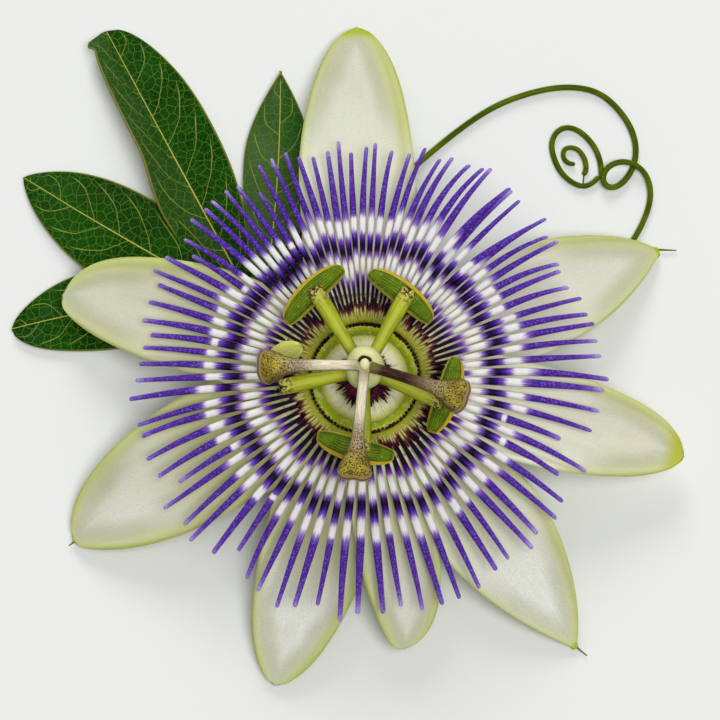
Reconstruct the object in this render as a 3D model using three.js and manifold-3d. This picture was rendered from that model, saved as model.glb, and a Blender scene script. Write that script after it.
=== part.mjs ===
// A passion flower as picked: one open flower on a short piece of vine, with a leaf and a looped tendril.
// It lies on its back on a surface. Millimetres, +Z up, origin under the middle of the whole spray.
import * as THREE from 'three';
import { mergeVertices } from 'three/addons/utils/BufferGeometryUtils.js';
import Module from 'manifold-3d';

const wasm = await Module();
wasm.setup();

const degree = Math.PI / 180;
const gap = 0.3; // between organs that grow together

// Calyx cup: a shallow dish whose rim carries the sepals and petals
const cupRadius = 15.2;
const cupBottom = 5.2;
const cupFloor = 9;
const cupRim = 7.3;
const cupProfile = [
  [0, cupBottom],
  [2.4, cupBottom],
  [8, 6.6],
  [cupRadius, cupRim],
  [cupRadius, cupRim + 0.9],
  [11.5, cupFloor],
  [0, cupFloor],
];

// Sepals hang to the surface, petals ride above them. Skew shifts a blade to its left, point closes its tip
const tepalBase = cupRadius + gap;
const tepalThickness = 0.6;
const tepalEdgeLift = 0.8;
const tepalWidest = 0.38;
const tepalBaseShare = 0.62;
const sepalBaseHeight = 7.6;
const sepalTipHeight = 0.35;
const petalBaseHeight = 8.8;
const petalTipHeight = 3.6;
const sepals = [
  { name: 'sepal_top', angle: 90.7, reach: 53.6, halfWidth: 8.4, point: 0.66, skew: 0.3 },
  { name: 'sepal_upper_right', angle: 24, reach: 47.9, halfWidth: 8.2, point: 0.8, skew: 0.6 },
  { name: 'sepal_lower_right', angle: -52, reach: 49.3, halfWidth: 8.2, point: 0.9, skew: 0.9 },
  { name: 'sepal_lower_left', angle: -107, reach: 45.7, halfWidth: 7.5, point: 0.64, skew: 0 },
  { name: 'sepal_left', angle: 209, reach: 48.3, halfWidth: 8.9, point: 0.7, skew: -1.5 },
];
const petals = [
  { name: 'petal_right', angle: -13.6, reach: 47.7, halfWidth: 7.1, point: 0.54, skew: 0.5 },
  { name: 'petal_bottom', angle: -82.5, reach: 39.1, halfWidth: 5.9, point: 0.6, skew: 1.3 },
  { name: 'petal_upper_left', angle: 164.5, reach: 46, halfWidth: 7.8, point: 0.66, skew: -1.6 },
];

// Corona: a ring on the cup floor with long filaments, crowded towards the top sepal
const coronaCount = 87;
const coronaCrowding = 0.27;
const coronaInner = 8.85;
const coronaOuter = 10.2;
const coronaReach = 34;
const coronaReachSpread = 1.6;
const coronaReachRhythm = 1.2; // radians from one filament's reach to the next
const coronaHeight = 9.9;
const coronaRise = 3.6;
const filamentHalfWidths = [0.3, 0.42, 0.22]; // at the root, half way and the tip
const filamentHalfDepth = 0.3;

// Short inner filaments and the nectar ring and cover inside them
const innerCount = 44;
const innerRadius = 8.2;
const innerReach = 10.8;
const innerTipHeight = 12;
const innerHalfWidth = 0.2;
const innerTipShare = 0.7;
const nectarRingRadius = 7.1;
const nectarRingThickness = 0.55;
const coverInner = 2.4;
const coverProfile = [
  [coverInner, cupFloor + gap],
  [6.2, cupFloor + gap],
  [6.2, 9.8],
  [4.4, 10.4],
  [coverInner + 0.3, 11.2],
  [coverInner, 11.2],
  [coverInner, cupFloor + gap],
];

// Column, stamens, ovary and styles
const columnRadius = 1.25;
const columnTop = 19.2;
const columnProfile = [
  [0, cupFloor + gap],
  [2, cupFloor + gap],
  [columnRadius, 11.6],
  [columnRadius, columnTop - 1.6],
  [1.9, columnTop - 0.8],
  [1.9, columnTop],
  [0, columnTop],
];
const stamenStart = 2.25;
const stamenHeight = 18.7;
const stamenArch = 0.9;
const stamenThickness = 0.8;
const stamenRootHalfWidth = 0.85;
const stamenTipHalfWidth = 1.15;
const stamenOverhang = 0.8; // past the middle of its anther
const antherHalfLength = 5.7;
const antherHalfWidth = 1.65;
const antherHalfDepth = 1.15;
const stamens = [
  { angle: 121, reach: 13.4, anther: { at: [-7.5, 11.5, 16.8], turn: 44.5, tilt: 0 } },
  { angle: 62, reach: 12.8, anther: { at: [5.4, 11.3, 16.8], turn: -38.5, tilt: 0 } },
  { angle: -21, reach: 11.4, anther: { at: [11.7, -3.3, 16.8], turn: 71.6, tilt: 0 } },
  { angle: -91, reach: 10.8, anther: { at: [-1.4, -10.9, 16.8], turn: -15.4, tilt: 0 } },
  { angle: 190, reach: 11.6, anther: { at: [-11.8, 2.1, 16.9], turn: 30, tilt: 60 } },
];
const ovaryProfile = [
  [0, 19.6],
  [1.5, 19.6],
  [2.5, 20.8],
  [2.8, 22.2],
  [2.3, 23.8],
  [1.2, 24.9],
  [1, 25.4],
  [1, 26.6],
  [0, 26.6],
];
const styleStart = 1.5;
const styleHeight = 25.8;
const styleRadius = 0.78;
const stigmaHeight = 22;
const stigmaRadius = 2.5;
const stigmaHalfDepth = 1.7;
const styles = [
  { angle: 180, reach: 12.9 },
  { angle: -17.3, reach: 13.1 },
  { angle: -95.4, reach: 14.2 },
];

// Three bracts under the cup
const bractAngles = [30, 150, 270];
const bractStart = 1.6;
const bractReach = 13.4;
const bractHalfWidth = 3.6;
const bractWidest = 0.45;
const bractBaseShare = 0.2;
const bractPoint = 0.6;
const bractThickness = 0.4;
const bractHeight = 4.3;
const bractRise = 2.1;

// Vine and flower stalk, which lie under the flower
const stemRadius = 1.6;
const stemRoute = [
  [-17, -13.5, stemRadius + 0.05],
  [-5, -8, stemRadius + 0.15],
  [6, -2.4, stemRadius + 0.05],
  [18, 4.8, stemRadius + 0.1],
];
const stalkRadius = 0.9;
const stalkRoute = [
  [-5.9, -6, 2],
  [-5.5, -3.4, 2.4],
  [-2.4, -0.7, 2.6],
  [-0.3, 0, 3.6],
  [0, 0, cupBottom - gap - 0.1],
];

// Leaf: five lobes on a leaf stalk. Bow shifts a lobe to its left, leftShare narrows a half that is folded up
const leafThickness = 0.6;
const leafBase = new THREE.Vector3(-15.1, 9.8, 0.1);
const lobeOutline = [[0.2, 0.42], [0.4, 0.8], [0.6, 1], [0.8, 0.84], [0.93, 0.5]];
const lobeRootShare = 0.14;
const lobes = [
  { angle: 182.3, length: 36.8, halfWidth: 6.1, bow: -2.7, leftShare: 1 },
  { angle: 149.1, length: 41.3, halfWidth: 6.9, bow: 0, leftShare: 1 },
  { angle: 118.3, length: 49.2, halfWidth: 7.2, bow: 0, leftShare: 0.68 },
  { angle: 85.9, length: 37.3, halfWidth: 5.2, bow: -0.7, leftShare: 1 },
  { angle: 62, length: 20, halfWidth: 3.6, bow: 0, leftShare: 1 },
];
const petioleRadius = 0.75;
const petioleRoute = [
  [-9.9, -8.1, 1.4],
  [-11.5, -4.5, 1.1],
  [-13.5, 2.5, 0.9],
  [leafBase.x - 1, leafBase.y + 1.4, 0.8],
];

// Tendril: one long strand that loops over itself, and a curl that branches off under the loop
const tendrilRadius = 0.42;
const curlRadius = 0.4;
const tendrilRoute = [
  [-1.8, -4.1, 1.5], [1.5, -2.2, 0.8], [4, 4, 0.5], [3, 14, 0.5], [2.5, 23, 0.5], [5, 30, 0.5],
  [12.1, 36.7, 0.5], [19, 41.6, 0.5], [25.2, 44, 0.5], [30.3, 44.8, 0.5], [34.9, 44, 0.5],
  [37.9, 41.3, 0.5], [39.8, 38.4, 0.5], [40.5, 35.2, 0.5], [39.8, 32.1, 0.5], [38.4, 30.1, 0.55],
  [36.3, 28.9, 0.8], [34.9, 30.3, 1.35], [35.5, 32.4, 1.5], [38, 33.6, 1.5], [40.6, 32.9, 1.45],
  [42.2, 31, 0.8], [42.6, 28.6, 0.5], [41.8, 25.5, 0.5], [39.9, 21.8, 0.5], [36.5, 17.9, 0.5],
  [29, 14, 0.5], [24, 11.4, 0.5],
];
const curlRoute = [
  [34.9, 32, 0.5], [34.8, 34, 0.5], [34, 35.9, 0.5], [33.1, 37.1, 0.5], [31.8, 38.2, 0.5],
  [30.2, 38.7, 0.5], [28.8, 38.2, 0.5], [28, 37, 0.5], [27.8, 35.5, 0.5], [28.4, 33.4, 0.5],
  [29.4, 31.6, 0.5], [30.9, 30.3, 0.5], [32.5, 29.7, 0.5], [33.8, 30.2, 0.5], [34.4, 30.9, 0.5],
];
const hookRoute = [
  [32.5, 29.8, 0.5], [32.4, 30.8, 0.5], [32.9, 32.4, 0.5], [32.7, 33.9, 0.5], [31.8, 35.2, 0.5],
  [30.6, 35.6, 0.5], [29.7, 35.2, 0.5], [29.6, 34.1, 0.5], [30.3, 33.3, 0.5], [31.3, 33.1, 0.5],
];

function material(color, roughness) {
  return new THREE.MeshStandardMaterial({ color, roughness, metalness: 0 });
}

const sepalSkin = material('#dfe3c8', 0.6);
const petalSkin = material('#e3e6d2', 0.6);
const coronaSkin = material('#6a45b5', 0.5);
const maroonSkin = material('#5a1c3a', 0.5);
const nectarSkin = material('#9cb43a', 0.4);
const coverSkin = material('#e6e3bd', 0.5);
const stamenSkin = material('#a8b548', 0.45);
const antherSkin = material('#7f9a35', 0.5);
const ovarySkin = material('#c3cf8c', 0.4);
const styleSkin = material('#b59f78', 0.5);
const leafSkin = material('#2f6b2a', 0.35);
const stemSkin = material('#5c8a35', 0.5);

const flower = new THREE.Group();

function add(name, geometry, skin) {
  const mesh = new THREE.Mesh(geometry, skin);
  mesh.name = name;
  flower.add(mesh);
}

function closed(geometry) {
  geometry.deleteAttribute('normal');
  geometry.deleteAttribute('uv');
  return mergeVertices(geometry, 1e-4);
}

// Several closed geometries grown together as one
function grown(geometries) {
  const solids = geometries.map((geometry) => {
    const merged = closed(geometry);
    return new wasm.Manifold(new wasm.Mesh({
      numProp: 3,
      vertProperties: merged.attributes.position.array,
      triVerts: new Uint32Array(merged.index.array),
    }));
  });
  const { vertProperties, triVerts } = wasm.Manifold.union(solids).getMesh();
  const result = new THREE.BufferGeometry();
  result.setAttribute('position', new THREE.BufferAttribute(vertProperties, 3));
  result.setIndex(new THREE.BufferAttribute(triVerts, 1));
  return result.toNonIndexed();
}

// A slab bent into shape: place(u, v, w) gives the point at u 0..1 along, v -1..1 across, w -0.5..0.5 through
function bentSlab(alongSteps, acrossSteps, place) {
  const slab = new THREE.BoxGeometry(1, 2, 1, alongSteps, acrossSteps, 1);
  const points = slab.attributes.position;
  for (let i = 0; i < points.count; i += 1) {
    const bent = place(points.getX(i) + 0.5, points.getY(i), points.getZ(i));
    points.setXYZ(i, bent.x, bent.y, bent.z);
  }
  return closed(slab);
}

function revolved(profile, segments) {
  const outline = profile.map(([radius, height]) => new THREE.Vector2(radius, height));
  return new THREE.LatheGeometry(outline, segments).rotateX(90 * degree);
}

function tube(points, radius, sides, steps) {
  const route = new THREE.CatmullRomCurve3(points.map((point) => new THREE.Vector3(...point)));
  const centre = new THREE.Vector2();
  const corner = (_, i) => new THREE.Vector2(radius, 0).rotateAround(centre, (i / sides) * 360 * degree);
  const section = new THREE.Shape(Array.from({ length: sides }, corner));
  return new THREE.ExtrudeGeometry(section, { steps, extrudePath: route, bevelEnabled: false });
}

// Share of a blade's half width at u: it swells to its widest place and then closes in an arch
function bladeShare(u, widest, baseShare, point) {
  if (u < widest) {
    return baseShare + (1 - baseShare) * Math.sin((u / widest) * 90 * degree);
  }
  const past = (u - widest) / (1 - widest);
  return Math.max((1 - past * past) ** point, 0.05);
}

function tepal({ angle, reach, halfWidth, point, skew }, baseHeight, tipHeight) {
  const slab = bentSlab(12, 4, (u, v, w) => {
    const out = tepalBase + u * (reach - tepalBase);
    const half = halfWidth * bladeShare(u, tepalWidest, tepalBaseShare, point);
    const shift = skew * Math.sqrt(Math.sin(u * 179 * degree));
    const fall = (baseHeight - tipHeight) * u * u;
    const lift = tepalEdgeLift * v * v * Math.sin(u * 160 * degree);
    return new THREE.Vector3(out, v * half + shift, baseHeight - fall + lift + w * tepalThickness);
  });
  return slab.rotateZ(angle * degree);
}

// One leaf lobe, pointed at its tip, lying flat
function lobe({ angle, length, halfWidth, bow, leftShare }) {
  const edge = (share) => ([u, width]) => {
    const shift = bow * Math.sin(u * 180 * degree);
    return new THREE.Vector2(u * length, shift + width * share * halfWidth);
  };
  const right = lobeOutline.map(edge(-1));
  const left = lobeOutline.map(edge(leftShare)).reverse();
  const rootHalfWidth = lobeRootShare * halfWidth;
  const outline = new THREE.Shape();
  outline.moveTo(0, -rootHalfWidth);
  outline.splineThru([...right, new THREE.Vector2(length, 0)]);
  outline.splineThru([...left, new THREE.Vector2(0, rootHalfWidth)]);
  const options = { depth: leafThickness, curveSegments: 2, bevelEnabled: false };
  const slab = new THREE.ExtrudeGeometry(outline, options);
  slab.rotateZ(angle * degree);
  return slab.translate(leafBase.x, leafBase.y, leafBase.z);
}

// Direction of one corona filament: even steps, drawn together on the side of the top sepal
function coronaAngle(index) {
  const even = (index / coronaCount) * 2 * Math.PI;
  return even + coronaCrowding * Math.cos(even);
}

function coronaFilament(index) {
  const start = (coronaInner + coronaOuter) / 2;
  const reach = coronaReach - coronaReachSpread * Math.sin(index * coronaReachRhythm) ** 2;
  const bar = bentSlab(2, 1, (u, v, w) => {
    const out = start + u * (reach - start);
    const half = filamentHalfWidths[Math.round(u * 2)];
    const height = coronaHeight + 0.2 + coronaRise * u * (1 - u);
    return new THREE.Vector3(out, v * half, height + w * 2 * Math.min(half, filamentHalfDepth));
  });
  return bar.rotateZ(coronaAngle(index));
}

function innerFilament(index) {
  const footHeight = coronaHeight + 0.5;
  const bar = bentSlab(1, 1, (u, v, w) => {
    const out = innerRadius + u * (innerReach - innerRadius);
    const half = innerHalfWidth * (1 - u + innerTipShare * u);
    const height = footHeight + u * (innerTipHeight - footHeight);
    return new THREE.Vector3(out, v * half, height + w * 2 * innerHalfWidth);
  });
  return bar.rotateZ((index / innerCount) * 2 * Math.PI);
}

function flatRing(inner, outer, top, segments) {
  const bottom = cupFloor + gap;
  return revolved([[inner, bottom], [outer, bottom], [outer, top], [inner, top], [inner, bottom]], segments);
}

function stamenFilament({ angle, reach }) {
  const end = reach + stamenOverhang;
  const strap = bentSlab(4, 1, (u, v, w) => {
    const out = stamenStart + u * (end - stamenStart);
    const half = stamenRootHalfWidth + u * (stamenTipHalfWidth - stamenRootHalfWidth);
    const height = stamenHeight + stamenArch * Math.sin(u * Math.PI);
    return new THREE.Vector3(out, v * half, height + w * stamenThickness);
  });
  return strap.rotateZ(angle * degree);
}

function anther({ at, turn, tilt }) {
  const body = new THREE.SphereGeometry(1, 10, 6);
  body.scale(antherHalfLength, antherHalfWidth, antherHalfDepth);
  body.rotateY(-tilt * degree);
  body.rotateZ(turn * degree);
  return body.translate(...at);
}

// A stalk that bows over and ends in a rounded head
function styleWithStigma({ angle, reach }) {
  const stalk = tube([
    [styleStart, 0, styleHeight],
    [reach * 0.4, 0, styleHeight + 0.1],
    [reach * 0.75, 0, styleHeight - 1],
    [reach, 0, stigmaHeight + 0.8],
  ], styleRadius, 8, 8);
  const stigma = new THREE.SphereGeometry(1, 12, 8);
  stigma.scale(stigmaRadius, stigmaRadius, stigmaHalfDepth);
  stigma.translate(reach, 0, stigmaHeight);
  return grown([stalk, stigma]).rotateZ(angle * degree);
}

function bract(angle) {
  const slab = bentSlab(6, 2, (u, v, w) => {
    const out = bractStart + u * (bractReach - bractStart);
    const side = v * bractHalfWidth * bladeShare(u, bractWidest, bractBaseShare, bractPoint);
    return new THREE.Vector3(out, side, bractHeight + bractRise * u + w * bractThickness);
  });
  return slab.rotateZ(angle * degree);
}

// Vine, leaf and tendril
add('vine_stem', tube(stemRoute, stemRadius, 10, 10), stemSkin);
add('leaf', grown([...lobes.map(lobe), tube(petioleRoute, petioleRadius, 8, 8)]), leafSkin);
add('flower_stalk', tube(stalkRoute, stalkRadius, 8, 10), stemSkin);
add('tendril_long', tube(tendrilRoute, tendrilRadius, 6, 72), stemSkin);
const curl = tube(curlRoute, curlRadius, 6, 32);
const hook = tube(hookRoute, curlRadius, 6, 20);
add('tendril_curl', grown([curl, hook]), stemSkin);

// Flower, from the back up
for (const [i, angle] of bractAngles.entries()) {
  add(`bract_${i + 1}`, bract(angle), stemSkin);
}
add('calyx_cup', revolved(cupProfile, 32), sepalSkin);
for (const shape of sepals) {
  add(shape.name, tepal(shape, sepalBaseHeight, sepalTipHeight), sepalSkin);
}
for (const shape of petals) {
  add(shape.name, tepal(shape, petalBaseHeight, petalTipHeight), petalSkin);
}
const coronaRing = flatRing(coronaInner, coronaOuter, coronaHeight + 0.4, 36);
const coronaRays = Array.from({ length: coronaCount }, (_, i) => coronaFilament(i));
add('corona', grown([coronaRing, ...coronaRays]), coronaSkin);
const innerRing = flatRing(innerRadius - 0.3, innerRadius + 0.3, coronaHeight + 0.6, 24);
const innerRays = Array.from({ length: innerCount }, (_, i) => innerFilament(i));
add('inner_filaments', grown([innerRing, ...innerRays]), maroonSkin);
const nectarRing = new THREE.TorusGeometry(nectarRingRadius, nectarRingThickness, 6, 32);
add('nectar_ring', nectarRing.translate(0, 0, cupFloor + gap + nectarRingThickness), nectarSkin);
add('nectar_cover', revolved(coverProfile, 28), coverSkin);
add('column', revolved(columnProfile, 14), stamenSkin);
for (const [i, shape] of stamens.entries()) {
  add(`stamen_filament_${i + 1}`, stamenFilament(shape), stamenSkin);
  add(`anther_${i + 1}`, anther(shape.anther), antherSkin);
}
add('ovary', revolved(ovaryProfile, 16), ovarySkin);
for (const [i, shape] of styles.entries()) {
  add(`style_${i + 1}`, styleWithStigma(shape), styleSkin);
}

// The origin goes under the middle of the spray, on the surface it lies on
const extent = new THREE.Box3().setFromObject(flower, true);
const middle = extent.getCenter(new THREE.Vector3());
flower.position.set(-middle.x, -middle.y, -extent.min.z);

const group = new THREE.Group();
group.add(flower);

export default group;
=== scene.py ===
import math
import random

import bmesh
import bpy
from mathutils import Matrix, Vector


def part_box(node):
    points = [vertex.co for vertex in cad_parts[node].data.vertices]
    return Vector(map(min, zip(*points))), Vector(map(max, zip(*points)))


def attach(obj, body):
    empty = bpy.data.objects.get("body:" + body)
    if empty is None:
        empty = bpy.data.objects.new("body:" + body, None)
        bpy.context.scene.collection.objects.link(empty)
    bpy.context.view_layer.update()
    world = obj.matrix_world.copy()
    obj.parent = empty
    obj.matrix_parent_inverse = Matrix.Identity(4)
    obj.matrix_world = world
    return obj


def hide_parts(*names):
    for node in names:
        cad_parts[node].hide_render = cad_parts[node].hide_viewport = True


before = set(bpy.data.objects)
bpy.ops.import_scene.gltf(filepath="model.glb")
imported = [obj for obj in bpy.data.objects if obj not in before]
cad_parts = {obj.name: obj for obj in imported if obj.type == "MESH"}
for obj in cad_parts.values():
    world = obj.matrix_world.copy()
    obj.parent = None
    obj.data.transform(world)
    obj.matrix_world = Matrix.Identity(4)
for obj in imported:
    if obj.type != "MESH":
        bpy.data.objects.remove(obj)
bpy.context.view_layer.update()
scene = bpy.context.scene
mm = 0.001
fullTurn = 2 * math.pi


# the low and high corners of a node's box, in millimetres
def nodeBox(node):
    low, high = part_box(node)
    return low / mm, high / mm


# where the flower's axis stands, and the heights of its organs
columnLow, columnHigh = nodeBox("column")
axis = Vector(((columnLow.x + columnHigh.x) / 2, (columnLow.y + columnHigh.y) / 2, 0))
cupLow, cupHigh = nodeBox("calyx_cup")
cupRadius = (cupHigh.x - cupLow.x) / 2
coronaFoot = nodeBox("corona")[0].z
ovaryLow, ovaryHigh = nodeBox("ovary")


# the point of a node that stands farthest out from the axis: a petal's or a leaf's tip
def tipOf(node):
    places = [v.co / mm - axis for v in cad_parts[node].data.vertices]
    return max(places, key=lambda p: p.xy.length)


def ease(low, high, value):
    t = min(max((value - low) / (high - low), 0.0), 1.0)
    return t * t * (3 - 2 * t)


def blendOf(a, b, t):
    return a + (b - a) * t


# 1 at the middle, fading to nothing over about twice the spread
def bell(value, middle, spread):
    return math.exp(-((value - middle) / spread) ** 2)


# a tube's width near its end: 1 until the start, then rounded off
def roundedEnd(t, start, length, least):
    return math.sqrt(max(1 - max((t - start) / length, 0) ** 2, least))


def polar(radius, angle, height=0.0):
    return Vector((radius * math.cos(angle), radius * math.sin(angle), height))


# a smooth value from a short list, t from 0 to 1
def profileAt(values, t):
    place = min(max(t, 0.0), 1.0) * (len(values) - 1)
    i = min(int(place), len(values) - 2)
    f = place - i
    p0, p1 = values[max(i - 1, 0)], values[i]
    p2, p3 = values[i + 1], values[min(i + 2, len(values) - 1)]
    return 0.5 * ((p1 * 2) + (p2 - p0) * f + (p0 * 2 - p1 * 5 + p2 * 4 - p3) * f ** 2
                  + (p1 * 3 - p0 - p2 * 3 + p3) * f ** 3)


# evenly spaced places along a route of a few given points
def walkRoute(points, count):
    points = [Vector(p) for p in points]
    fine = [profileAt(points, i / 1200) for i in range(1201)]
    travelled = [0.0]
    for a, b in zip(fine, fine[1:]):
        travelled.append(travelled[-1] + (b - a).length)
    places, j = [], 0
    for i in range(count):
        target = travelled[-1] * i / (count - 1)
        while j < len(fine) - 2 and travelled[j + 1] < target:
            j += 1
        span = max(travelled[j + 1] - travelled[j], 1e-9)
        places.append(fine[j].lerp(fine[j + 1], min((target - travelled[j]) / span, 1.0)))
    return places


def bearingOf(vert):
    return math.atan2(vert.co.y, vert.co.x), vert.co.xy.length


def turned(place, angle):
    return Matrix.Rotation(angle, 3, "Z") @ Vector(place)


def turnAll(bm, angle, axisName="Z"):
    bmesh.ops.rotate(bm, verts=bm.verts[:], matrix=Matrix.Rotation(angle, 3, axisName))


def thicken(bm, thickness):
    bmesh.ops.recalc_face_normals(bm, faces=bm.faces[:])
    bmesh.ops.solidify(bm, geom=bm.faces[:], thickness=thickness)


def floatLayers(bm, *names):
    return [bm.verts.layers.float.get(name) or bm.verts.layers.float.new(name) for name in names]


def ringEdges(ring):
    return [e for e in {e for v in ring for e in v.link_edges} if e.verts[0] in ring and e.verts[1] in ring]


# a tube grown ring by ring along a route without twisting; widths across and through may differ
def growTube(bm, places, widths, sides, depths=None, tone=0.0):
    along, around, toneLayer = floatLayers(bm, "along", "around", "tone")
    depths = depths or widths
    ring = bmesh.ops.create_circle(bm, cap_ends=True, segments=sides, radius=1)["verts"]
    corners = {vert: bearingOf(vert)[0] / fullTurn + 0.5 for vert in ring}
    last, top, end = Matrix.Identity(4), Vector((0, 0, 1)), len(places) - 1
    for i, place in enumerate(places):
        share = i / end
        ahead = (places[min(i + 1, end)] - places[max(i - 1, 0)]).normalized()
        side = ahead.cross(top).normalized()
        top = side.cross(ahead)
        turn = Matrix((side, top, ahead)).transposed().to_4x4()
        here = Matrix.Translation(place) @ turn @ Matrix.Diagonal((widths(share), depths(share), 1, 1))
        if i:
            before = {tuple(v.co): corners[v] for v in ring}
            grown = bmesh.ops.extrude_edge_only(bm, edges=ringEdges(ring))["geom"]
            ring = [g for g in grown if isinstance(g, bmesh.types.BMVert)]
            corners = {v: before[tuple(v.co)] for v in ring}
        bmesh.ops.transform(bm, matrix=here @ last.inverted(), verts=ring)
        last = here
        for vert in ring:
            vert[along], vert[around], vert[toneLayer] = share, corners[vert], tone
    bmesh.ops.contextual_create(bm, geom=ringEdges(ring))


# a straight bar, one unit long in x and one in radius, to be copied and bent many times
def makeBar(name, sides, rings):
    bm = bmesh.new()
    bmesh.ops.create_cone(bm, cap_ends=True, segments=sides, radius1=1, radius2=1, depth=1)
    lengthwise = [e for e in bm.edges if abs(e.verts[0].co.z - e.verts[1].co.z) > 0.5]
    bmesh.ops.subdivide_edges(bm, edges=lengthwise, cuts=rings - 1)
    bmesh.ops.translate(bm, verts=bm.verts[:], vec=(0, 0, 0.5))
    turnAll(bm, math.pi / 2, "Y")
    mesh = bpy.data.meshes.new(name)
    bm.to_mesh(mesh)
    bm.free()
    return mesh


def copyBent(bm, bar, bend):
    start = len(bm.verts)
    bm.from_mesh(bar)
    bm.verts.ensure_lookup_table()
    for vert in bm.verts[start:]:
        bend(vert)


# a turned shape: points of (radius, height), measured from its low and its high end, are spun round the axis
def spinProfile(bm, steps, low, lower, high=0.0, upper=()):
    verts = [bm.verts.new((radius, 0, low + height)) for radius, height in lower]
    verts += [bm.verts.new((radius, 0, high + height)) for radius, height in upper]
    edges = [bm.edges.new(pair) for pair in zip(verts, verts[1:])]
    bmesh.ops.spin(bm, geom=verts + edges, cent=(0, 0, 0), axis=(0, 0, 1), angle=fullTurn,
                   steps=steps, use_merge=True)
    bmesh.ops.remove_doubles(bm, verts=bm.verts[:], dist=1e-4)


# marks how far out and how far round every vert lies
def markRound(bm):
    out, around = floatLayers(bm, "out", "around")
    for vert in bm.verts:
        angle, vert[out] = bearingOf(vert)
        vert[around] = angle / fullTurn % 1.0


# turns a shape drawn in millimetres about the flower's axis into a finished piece
def finishPiece(bm, name, material, node):
    bmesh.ops.recalc_face_normals(bm, faces=bm.faces[:])
    bmesh.ops.translate(bm, verts=bm.verts[:], vec=axis)
    bmesh.ops.scale(bm, verts=bm.verts[:], vec=(mm, mm, mm))
    mesh = bpy.data.meshes.new(name)
    bm.to_mesh(mesh)
    bm.free()
    mesh.materials.append(material)
    for face in mesh.polygons:
        face.use_smooth = True
    piece = bpy.data.objects.new(name, mesh)
    scene.collection.objects.link(piece)
    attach(piece, "root")
    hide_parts(node)


def colour(code):
    parts = [int(code[i:i + 2], 16) / 255 for i in (1, 3, 5)]
    return [p / 12.92 if p <= 0.04045 else ((p + 0.055) / 1.055) ** 2.4 for p in parts] + [1]


bench = {}  # the material in hand, with its node tree and its shader


# a number that a node works out, so that a pattern can be written as a formula
class Signal:
    def __init__(self, socket):
        self.socket = socket

    def __add__(self, other):
        return maths("ADD", self, other)

    def __sub__(self, other):
        return maths("SUBTRACT", self, other)

    def __rsub__(self, other):
        return maths("SUBTRACT", other, self)

    def __mul__(self, other):
        return maths("MULTIPLY", self, other)

    def __truediv__(self, other):
        return maths("DIVIDE", self, other)

    def __pow__(self, other):
        return maths("POWER", self, other)

    def __abs__(self):
        return maths("ABSOLUTE", self)


# softness is how much light passes just under the surface
def startMaterial(name, roughness=0.5, specular=0.1, softness=0.0):
    material = bpy.data.materials.new(name)
    material.use_nodes = True
    shader = material.node_tree.nodes["Principled BSDF"]
    shader.inputs["Roughness"].default_value = roughness
    shader.inputs["Specular IOR Level"].default_value = specular
    if softness:
        shader.inputs["Subsurface Weight"].default_value = softness
        shader.inputs["Subsurface Scale"].default_value = mm
    bench.update(material=material, tree=material.node_tree, shader=shader)


# colours the material in hand and gives it relief, depth in millimetres
def finishMaterial(skin, height=None, depth=0.1, strength=0.8):
    tree, shader = bench["tree"], bench["shader"]
    if isinstance(skin, str):
        shader.inputs["Base Color"].default_value = colour(skin)
    else:
        tree.links.new(skin.socket, shader.inputs["Base Color"])
    if height:
        bump = addNode("ShaderNodeBump", {"Height": height, "Distance": depth * mm, "Strength": strength})
        tree.links.new(bump.socket, shader.inputs["Normal"])
    return bench["material"]


def addNode(kind, inputs=None, output=0, **settings):
    made = bench["tree"].nodes.new(kind)
    for key, value in settings.items():
        setattr(made, key, value)
    for socket, source in (inputs or {}).items():
        if isinstance(source, Signal):
            bench["tree"].links.new(source.socket, made.inputs[socket])
        else:
            made.inputs[socket].default_value = source
    return Signal(made.outputs[output])


def attributesOf(*names):
    return [addNode("ShaderNodeAttribute", output="Fac", attribute_name=name) for name in names]


def maths(operation, a, b=0.0):
    return addNode("ShaderNodeMath", {0: a, 1: b}, operation=operation)


def rangeOf(value, low, high, toLow=0.0, toHigh=1.0):
    return addNode("ShaderNodeMapRange", {0: value, 1: low, 2: high, 3: toLow, 4: toHigh},
                   interpolation_type="SMOOTHSTEP")


def mixColours(share, a, b):
    a, b = (colour(c) if isinstance(c, str) else c for c in (a, b))
    return addNode("ShaderNodeMix", {0: share, 6: a, 7: b}, output=2, data_type="RGBA")


# a skin turned toward another colour as a value goes from low to high
def tint(skin, other, value, low, high, most=1.0):
    return mixColours(rangeOf(value, low, high, 0, most), skin, other)


def rampOf(value, stops):
    ramp = addNode("ShaderNodeValToRGB", {0: value})
    elements = ramp.socket.node.color_ramp.elements
    while len(elements) < len(stops):
        elements.new(0.5)
    for element, (place, code) in zip(elements, stops):
        element.position = place
        element.color = colour(code)
    return ramp


# a place on the piece, in metres
def objectPlace(stretch=(1, 1, 1)):
    return addNode("ShaderNodeMapping", {0: addNode("ShaderNodeTexCoord", output="Object"), 3: stretch})


def noiseOf(scale, detail=2.0, rough=0.5, place=None):
    inputs = {"Vector": place or objectPlace(), "Scale": scale, "Detail": detail, "Roughness": rough}
    return addNode("ShaderNodeTexNoise", inputs)


# distance from the borders of a net of cells
def netOf(place, scale, randomness=1.0):
    return addNode("ShaderNodeTexVoronoi", {"Vector": place, "Scale": scale, "Randomness": randomness},
                   output="Distance", voronoi_dimensions="2D", feature="DISTANCE_TO_EDGE")


def vectorOf(x, y, z):
    return addNode("ShaderNodeCombineXYZ", {0: x, 1: y, 2: z})


# how much the surface looks up, from -1 to 1
def upwardness():
    return addNode("ShaderNodeSeparateXYZ", {0: addNode("ShaderNodeNewGeometry", output="Normal")}, output=2)


def facingUp():
    return rangeOf(upwardness(), -0.25, 0.1)


# 1 along the top of a tube, -1 along its underside
def topOfTube(around):
    return maths("SINE", (around - 0.5) * fullTurn)
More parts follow.
